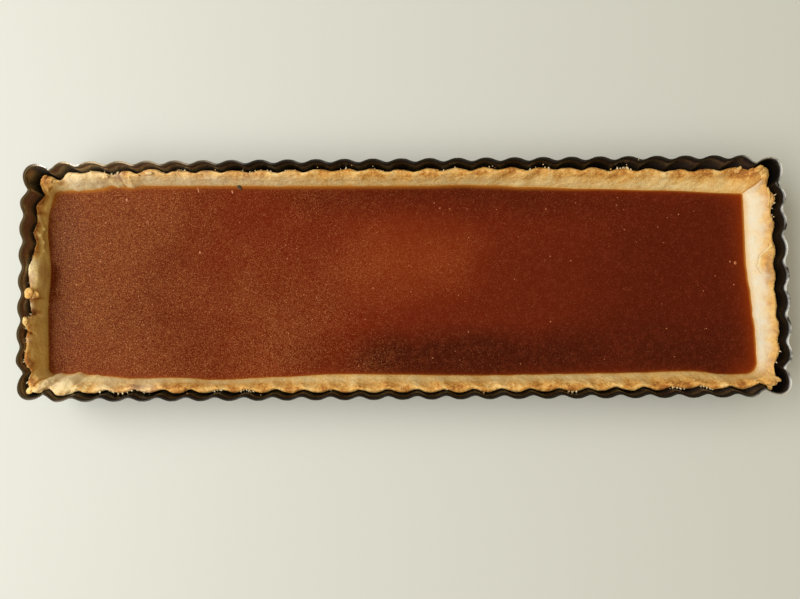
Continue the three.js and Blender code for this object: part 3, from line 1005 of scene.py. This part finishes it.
def painted_reflection_share(m, place, outside):
    """How strong the painted brown reflection is: at the left end, inside and toward the rim."""
    slant = m.math("SUBTRACT", place["X"], m.times(place["Y"], 0.6))
    left = m.times(m.fit(slant, -0.105, -0.178), m.fit(outside, 0, 1, 1.0, 0.12))
    return m.times(left, m.fit(place["Z"], 0.016, 0.0235, 0.15, 1.0))


def painted_glint_share(m, where, place):
    """How much painted highlight the bead gets: patchily at the right end, and in glints at the
    corners.
    """
    patchy = m.fit(m.noise(110, 3, 0.6), 0.36, 0.52)
    glinting = m.times(m.fit(place["X"], 0.150, 0.168), patchy)
    for x, y, reach, low in PAINTED_GLINTS:
        rim = (x, y, TIN_HEIGHT * MM)
        away = m.add("ShaderNodeVectorMath", {0: where, 1: rim}, operation="DISTANCE")
        near = m.fit(away.outputs["Value"], 0.4 * reach, reach, 1.0, 0.0)
        flecks = m.fit(m.noise(700, 3, 0.7), low, low + 0.14)
        glinting = m.math("MAXIMUM", glinting, m.times(near, flecks))
    return glinting


def dark_steel(piece):
    """Dark steel with painted light: a brown reflection at the left end, highlights on the top
    bead.
    """
    m = Nodes("dark_steel")
    where = m.where()
    place = m.add("ShaderNodeSeparateXYZ", {0: where}).outputs
    outside = m.layer("outside")
    left = painted_reflection_share(m, place, outside)
    worn = m.fit(m.noise(60, 4), 0.3, 0.7)
    dark = m.mix(worn, srgb(34, 29, 23), srgb(46, 40, 32))
    # painted reflection: the golden pastry mirrored brown in the steel at the left end
    brown = m.mix(worn, srgb(144, 134, 116), srgb(172, 158, 136))
    # painted sheen: lighter steel on the right-hand lobes, where they would mirror the window
    sheen = m.times(m.fit(place["X"], 0.095, 0.140), m.fit(place["X"], 0.167, 0.158))
    sheen = m.times(sheen, m.fit(outside, 0, 1, 0.85, 0.0))
    wall = m.mix(sheen, m.mix(left, dark, brown), srgb(104, 94, 88))
    lip = m.mix(left, srgb(52, 47, 40), srgb(138, 118, 90))
    # painted sheen: the rim's top is coloured lighter than the wall below it
    colour = m.mix(m.fit(place["Z"], 0.0228, 0.0242), wall, lip)
    bead = m.layer("bead")
    shaded = m.times(m.fit(place["X"], -0.155, -0.165), 0.75)
    colour = m.mix(m.times(shaded, bead), colour, srgb(44, 38, 30))
    # painted highlights and glints on the bead, near white
    colour = m.mix(m.times(painted_glint_share(m, where, place), bead), colour, srgb(232, 231, 226))
    m.finish(piece, base_color=colour, roughness=m.fit(m.noise(300, 3), 0.3, 0.7, 0.22, 0.34),
             normal=m.bump(m.noise(2500, 2), 0.05, 0.0001), metallic=0.8)


def baked_colour(m, along, inner):
    """Pale to brown by how well it baked, with freckles and soft mottles."""
    freckles = m.fit(m.noise(1100, 4, 0.75), 0.3, 0.7, -0.3, 0.3)
    mottles = m.fit(m.noise(230, 3, 0.6), 0.3, 0.7, -0.22, 0.22)
    uneven = m.times(m.math("ADD", freckles, mottles), m.fit(inner, 0, 1, 1.0, 0.8))
    uneven = m.times(uneven, m.fit(along, 0.158, 0.168, 1.0, 0.45))
    colour = m.ramp(m.math("ADD", m.layer("browning"), uneven), [
        (0.0, srgb(248, 220, 156)), (0.25, srgb(244, 202, 130)), (0.5, srgb(232, 181, 100)),
        (0.75, srgb(212, 148, 66)), (1.0, srgb(166, 102, 40))])
    return m.mix(m.fit(along, 0.162, 0.170, 0.0, 0.35), colour, srgb(224, 192, 126))


def baked_pastry(piece):
    """Baked shortcrust: cream where pale; painted light, cream at right, golden at left; glazed by
    filling.
    """
    m = Nodes("baked_pastry")
    along = m.add("ShaderNodeSeparateXYZ", {0: m.where()}).outputs["X"]
    inner = m.layer("inner")
    colour = baked_colour(m, along, inner)
    pale = m.times(m.layer("pale"), m.fit(m.noise(180, 3, 0.6), 0.3, 0.7, 0.95, 0.6))
    # cream for pale places; at the right it also carries the painted light of the right side
    cream = m.mix(m.fit(along, -0.05, 0.05), srgb(252, 233, 190), srgb(230, 221, 196))
    colour = m.mix(pale, colour, cream)
    # painted light: the left inner face, turned away from the window, lifted to a light golden as
    # bounce light from the filling
    left = m.times(m.fit(along, -0.160, -0.168), m.fit(inner, 0, 1, 0.1, 0.75))
    left = m.times(left, m.fit(m.layer("browning"), 0.3, 0.8, 1.0, 0.2))
    colour = m.mix(left, colour, srgb(255, 222, 134))
    colour = m.mix(m.times(m.layer("glazed"), 0.7), colour, srgb(214, 158, 66))
    grain = m.bump(m.noise(2600, 4, 0.7), 0.5, 0.0004)
    m.finish(piece, base_color=colour, roughness=0.7, specular_ior_level=0.3,
             normal=m.bump(m.noise(900, 3, 0.65), 0.5, 0.0007, grain))


# painted reflection and shadow on the chocolate, in metres: x, y, half sizes, colour, strength and
# how far out it stays full; the purple pair at the left is painted shadow
PAINTED_REFLECTION_AND_SHADOW_FIELDS = [
    (0.004, 0.012, 0.045, 0.03, (124, 46, 15), 0.7, 0.2),
    (0.035, -0.037, 0.085, 0.021, (58, 14, 6), 0.95, 0.45),
    (0.12, -0.035, 0.07, 0.025, (60, 17, 7), 0.8, 0.2),
    (0.02, 0.045, 0.12, 0.02, (64, 17, 6), 0.8, 0.2),
    (-0.158, 0.019, 0.012, 0.026, (78, 30, 26), 0.6, 0.2),
    (-0.158, -0.022, 0.010, 0.024, (82, 32, 26), 0.5, 0.2),
]


def distance(m, where, **settings):
    """How far a point lies from the middle of a field, in the field's own half sizes."""
    field = m.add("ShaderNodeMapping", {"Vector": where, **settings})
    return m.add("ShaderNodeVectorMath", {0: field.outputs[0]}, operation="LENGTH").outputs["Value"]


def chocolate_colour(m, where, place):
    colour = m.ramp(place, [
        (0.0, srgb(80, 25, 11)), (0.25, srgb(98, 28, 10)), (0.45, srgb(102, 28, 10)),
        (0.7, srgb(94, 27, 10)), (1.0, srgb(78, 21, 8))])
    # painted reflection, lighter and darker, and painted shadow at the left end
    for x, y, half_x, half_y, shade, strength, core in PAINTED_REFLECTION_AND_SHADOW_FIELDS:
        away = distance(m, where, Location=(-x / half_x, -y / half_y, 0),
                        Scale=(1 / half_x, 1 / half_y, 0))
        away = m.math("ADD", away, m.fit(m.noise(25, 2), 0.3, 0.7, -0.2, 0.2))
        colour = m.mix(m.fit(away, core, 1.0, strength, 0.0), colour, srgb(*shade))
    return colour


def speck_and_glint_spread(m, where, place):
    """Low where the filling shows most specks, fine bubbles and painted glints: at the left and in
    a haze.
    """
    clouds = m.fit(m.noise(22, 4), 0.3, 0.7, -0.3, 0.3)
    haze = distance(m, where, Location=(3.9, 1.5, 0), Rotation=(0, 0, 0.5), Scale=(30.0, 20.0, 0))
    haze = m.fit(m.math("ADD", haze, clouds), 0.1, 1.2, 0.5, 0.0)
    return m.math("SUBTRACT", m.math("ADD", place, clouds), haze)


def speckled(m, where, spread, colour, specks):
    """Round specks, fewer to the right: low and high are the shares left out at the ends."""
    scale, low, high, size, strength, shade = specks
    cells = m.add("ShaderNodeTexVoronoi", {"Vector": where, "Scale": scale})
    chance = m.add("ShaderNodeSeparateColor", {0: cells.outputs["Color"]}).outputs["Red"]
    shown = m.math("GREATER_THAN", chance, m.fit(spread, 0.0, 0.6, low, high))
    dot = m.fit(cells.outputs["Distance"], 0.1, size, 1.0, 0.0)
    reach = m.fit(spread, 0.1, 0.9, strength, 0.5 * strength)
    return m.mix(m.times(m.times(dot, shown), reach), colour, shade)


def set_chocolate(piece):
    """Set chocolate: painted reflection, shadow and glints, fine bubbles, amber where it thins at
    the edge.
    """
    m = Nodes("set_chocolate")
    where = m.where()
    along = m.add("ShaderNodeSeparateXYZ", {0: where}).outputs["X"]
    drift = m.fit(m.noise(14, 3), 0.3, 0.7, -0.03, 0.03)
    place = m.fit(m.math("ADD", along, drift), -0.168, 0.164)
    colour = chocolate_colour(m, where, place)
    spread = speck_and_glint_spread(m, where, place)
    fine = m.mix(place, srgb(206, 138, 70), srgb(176, 96, 66))
    coarse = m.mix(place, srgb(224, 166, 104), srgb(190, 116, 84))
    colour = speckled(m, where, spread, colour, (3300.0, 0.25, 0.78, 0.65, 0.55, fine))
    colour = speckled(m, where, spread, colour, (1900.0, 0.72, 0.94, 0.42, 0.7, coarse))
    blotches = m.fit(m.noise(420, 3, 0.6), 0.5, 0.75, 0.0, 0.3)
    colour = m.mix(blotches, colour, m.mix(place, srgb(140, 72, 38), srgb(122, 44, 28)))
    colour = m.mix(m.times(m.layer("glow"), 0.75), colour, srgb(146, 54, 8))
    colour = m.mix(m.fit(m.layer("thinness"), 0.1, 1.0, 0.0, 0.85), colour, srgb(198, 132, 46))
    m.finish(piece, base_color=colour, roughness=0.28, specular_ior_level=0.14,
             specular_tint=(*srgb(255, 165, 105), 1))


def loose_pastry(piece, name, pale, golden):
    m = Nodes(name)
    colour = m.ramp(m.noise(700, 3, 0.6), [(0.35, pale), (0.65, golden)])
    m.finish(piece, base_color=colour, roughness=0.75, specular_ior_level=0.25,
             normal=m.bump(m.noise(3000, 3), 0.4, 0.0002))


def bubble_skin(piece):
    m = Nodes("bubble_skin")
    colour = m.ramp(m.noise(400, 2), [(0.35, srgb(168, 96, 48)), (0.65, srgb(196, 124, 84))])
    m.finish(piece, base_color=colour, roughness=0.35, specular_ior_level=0.3,
             normal=m.bump(m.noise(2500, 2), 0.1, 0.0001))


def dark_scrap(piece):
    m = Nodes("dark_scrap")
    colour = m.ramp(m.noise(1500, 3), [(0.35, srgb(40, 34, 20)), (0.65, srgb(84, 72, 46))])
    m.finish(piece, base_color=colour, roughness=0.8, normal=m.bump(m.noise(3000, 3), 0.4, 0.0002))


# ---------------------------------------------------------------- dressing the frame

tin = make_tin()
crust = make_crust()
join_lumps(crust)
filling = make_filling()
for piece, node, slot in ((tin, "tin", "dark_steel"), (crust, "crust", "baked_pastry"),
                          (filling, "filling", "chocolate_filling")):
    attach(piece, "root")
    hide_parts(node)
dark_steel(tin)
baked_pastry(crust)
set_chocolate(filling)
flakes, crumbs, bubbles, speck = make_flakes(), make_crumbs(), make_bubbles(), make_speck()
for piece in (flakes, crumbs, bubbles, speck):
    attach(piece, "root")
loose_pastry(flakes, "flaky_pastry", srgb(250, 236, 200), srgb(232, 200, 140))
loose_pastry(crumbs, "crumbly_pastry", srgb(244, 220, 168), srgb(206, 146, 74))
bubble_skin(bubbles)
dark_scrap(speck)

# ---------------------------------------------------------------- floor, light and camera


FLOOR_SIZE = 3.0


def make_floor():
    bm = bmesh.new()
    bmesh.ops.create_grid(bm, x_segments=1, y_segments=1, size=FLOOR_SIZE)
    floor = to_object(bm, "floor")
    Nodes("pale_table").finish(floor, base_color=(*srgb(210, 211, 203), 1), roughness=0.6)


WINDOW_PLACE = (-0.95, 0.0, 0.92)
WINDOW_SIZE = (1.8, 0.85)
WINDOW_POWER = 21.0
WINDOW_COLOUR = (0.97, 0.985, 0.99)

SKY_AROUND = 0.17
SKY_OVERHEAD = 0.8
SKY_LEFT, SKY_RIGHT = 1.3, 0.99
SKY_COOL = (1.0, 0.98, 0.92, 1)
SKY_WARM = (1.0, 0.82, 0.48, 1)

# the camera's place in millimetres, its turns about x, y and z in degrees, and its lens
CAMERA_PLACE = (1.0, -26.1, 306.7)
CAMERA_TURNS = (3.29, 0.43, -0.44)
SENSOR = 36
LENS = SENSOR * 624 / 800


def area_light(name, place, size, energy, colour):
    light = bpy.data.lights.new(name, "AREA")
    light.shape = "RECTANGLE"
    light.size, light.size_y = size
    light.energy = energy
    light.color = colour
    lamp = bpy.data.objects.new(name, light)
    bpy.context.scene.collection.objects.link(lamp)
    lamp.location = place
    lamp.rotation_euler = (-lamp.location).to_track_quat("-Z", "Y").to_euler()


def make_sky():
    """Soft light from all round: strongest overhead, brighter at the left, warmer at the right."""
    world = bpy.data.worlds.new("room")
    world.use_nodes = True
    tree = world.node_tree
    background = tree.nodes["Background"]
    split = tree.nodes.new("ShaderNodeSeparateXYZ")
    tree.links.new(tree.nodes.new("ShaderNodeTexCoord").outputs["Generated"], split.inputs[0])

    def over(axis, low, high, to_low, to_high):
        ramp = tree.nodes.new("ShaderNodeMapRange")
        tree.links.new(split.outputs[axis], ramp.inputs["Value"])
        for socket, value in (("From Min", low), ("From Max", high),
                              ("To Min", to_low), ("To Max", to_high)):
            ramp.inputs[socket].default_value = value
        return ramp.outputs["Result"]

    product = tree.nodes.new("ShaderNodeMath")
    product.operation = "MULTIPLY"
    tree.links.new(over("Z", 0.6, 0.95, SKY_AROUND, SKY_OVERHEAD), product.inputs[0])
    tree.links.new(over("X", -1.0, 1.0, SKY_LEFT, SKY_RIGHT), product.inputs[1])
    tree.links.new(product.outputs[0], background.inputs["Strength"])
    tint = tree.nodes.new("ShaderNodeMix")
    tint.data_type = "RGBA"
    tree.links.new(over("X", -0.3, 0.4, 0.0, 1.0), tint.inputs[0])
    tint.inputs[6].default_value = SKY_COOL
    tint.inputs[7].default_value = SKY_WARM
    tree.links.new(tint.outputs[2], background.inputs["Color"])
    bpy.context.scene.world = world


def make_camera():
    data = bpy.data.cameras.new("camera")
    data.sensor_width = SENSOR
    data.lens = LENS
    data.clip_start = 0.01
    camera = bpy.data.objects.new("camera", data)
    bpy.context.scene.collection.objects.link(camera)
    about_x, about_y, about_z = (Matrix.Rotation(math.radians(turn), 3, axis)
                                 for turn, axis in zip(CAMERA_TURNS, "XYZ"))
    turn = about_z @ about_y @ about_x
    camera.matrix_world = Matrix.Translation(Vector(CAMERA_PLACE) * MM) @ turn.to_4x4()
    bpy.context.scene.camera = camera


make_floor()
area_light("window", WINDOW_PLACE, WINDOW_SIZE, WINDOW_POWER, WINDOW_COLOUR)
make_sky()
make_camera()
bpy.context.scene.view_settings.view_transform = "Standard"
